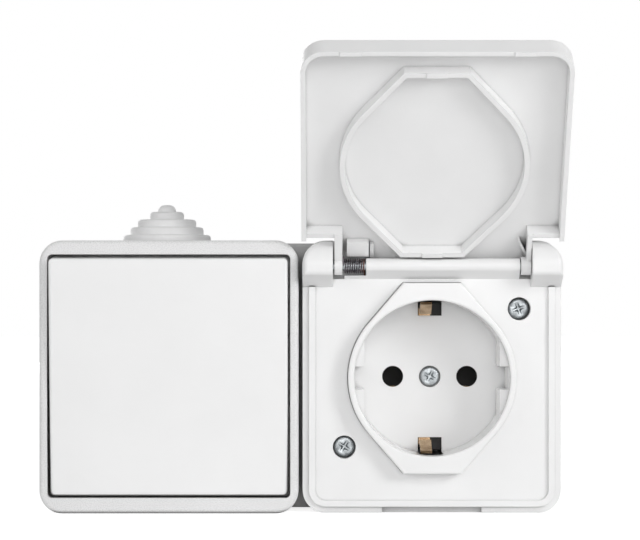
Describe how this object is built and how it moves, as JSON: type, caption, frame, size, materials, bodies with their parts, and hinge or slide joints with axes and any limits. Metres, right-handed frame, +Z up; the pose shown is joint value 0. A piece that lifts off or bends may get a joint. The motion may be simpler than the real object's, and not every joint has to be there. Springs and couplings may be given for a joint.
{
  "type": "surface-mounted weatherproof rocker switch and earthed socket combination",
  "caption": "Outdoor wall unit: large rocker switch beside an earthed round socket with a sprung lid, on one common back box with a stepped rubber cable gland.",
  "frame": {"origin": "middle of the back box's rear face, which lies on the wall", "axes": "+X to the right as seen from the front, +Y into the wall, +Z up"},
  "size_m": [0.1312, 0.0748, 0.1156],
  "materials": {
    "box_plastic": "moulded ABS, fine satin",
    "frame_plastic": "moulded ABS, fine grained",
    "rocker_plastic": "moulded ABS, glossy",
    "cover_plastic": "moulded ABS, half gloss",
    "lid_plastic": "moulded ABS, half gloss",
    "insert_plastic": "moulded PA, half gloss",
    "gland_rubber": "light grey soft rubber",
    "gasket_rubber": "grey foam rubber",
    "core_plastic": "dark moulded thermoset",
    "contact_brass": "stamped brass strip",
    "zinc_steel": "zinc-plated steel",
    "spring_steel": "oiled spring steel wire"
  },
  "bodies": {
    "housing": {"back_box": "box_plastic", "cable_gland": "gland_rubber", "switch_gasket": "gasket_rubber", "switch_frame": "frame_plastic", "frame_screws": "zinc_steel", "switch_core": "core_plastic", "switch_core_screws": "zinc_steel", "fixed_contact_live": "contact_brass", "fixed_contact_load": "contact_brass", "switch_terminal_screws": "zinc_steel", "socket_gasket": "gasket_rubber", "socket_cover": "cover_plastic", "cover_screws": "zinc_steel", "socket_insert": "insert_plastic", "centre_screw": "zinc_steel", "socket_core": "core_plastic", "socket_core_screws": "zinc_steel", "earth_bracket": "contact_brass", "live_contact": "contact_brass", "neutral_contact": "contact_brass", "socket_terminal_screws": "zinc_steel", "hinge_pin_left": "zinc_steel", "hinge_pin_right": "zinc_steel", "lid_spring": "spring_steel"},
    "lid": {"lid": "lid_plastic"},
    "rocker": {"rocker_key": "rocker_plastic", "rocker_carrier": "box_plastic", "detent_spring": "spring_steel"},
    "plunger": {"detent_plunger": "zinc_steel"},
    "contact": {"contact_arm": "contact_brass"}
  },
  "joints": [
    {"name": "lid_hinge", "type": "hinge", "parent": "housing", "child": "lid", "pos_m": [0.033, -0.0383, 0.02785], "axis": [1, 0, 0], "range_deg": [0, 145], "deforming": ["lid_spring"]},
    {"name": "rocker_pivot", "type": "hinge", "parent": "housing", "child": "rocker", "pos_m": [-0.033, -0.0376, 0.0002], "axis": [-1, 0, 0], "range_deg": [0, 10]},
    {"name": "detent_slide", "type": "slide", "parent": "rocker", "child": "plunger", "axis": [0, -0.9962, -0.0872], "range_m": [0, 0.0008], "stiffness_N_per_m": 150, "springref_m": -0.004, "deforming": ["detent_spring"]},
    {"name": "contact_tip", "type": "hinge", "parent": "housing", "child": "contact", "pos_m": [-0.033, -0.0172, 0.0002], "axis": [1, 0, 0], "range_deg": [0, 12]}
  ],
  "couplings": [
    {"joint": "contact_tip", "follows": "rocker_pivot", "ratio": 1.2}
  ]
}
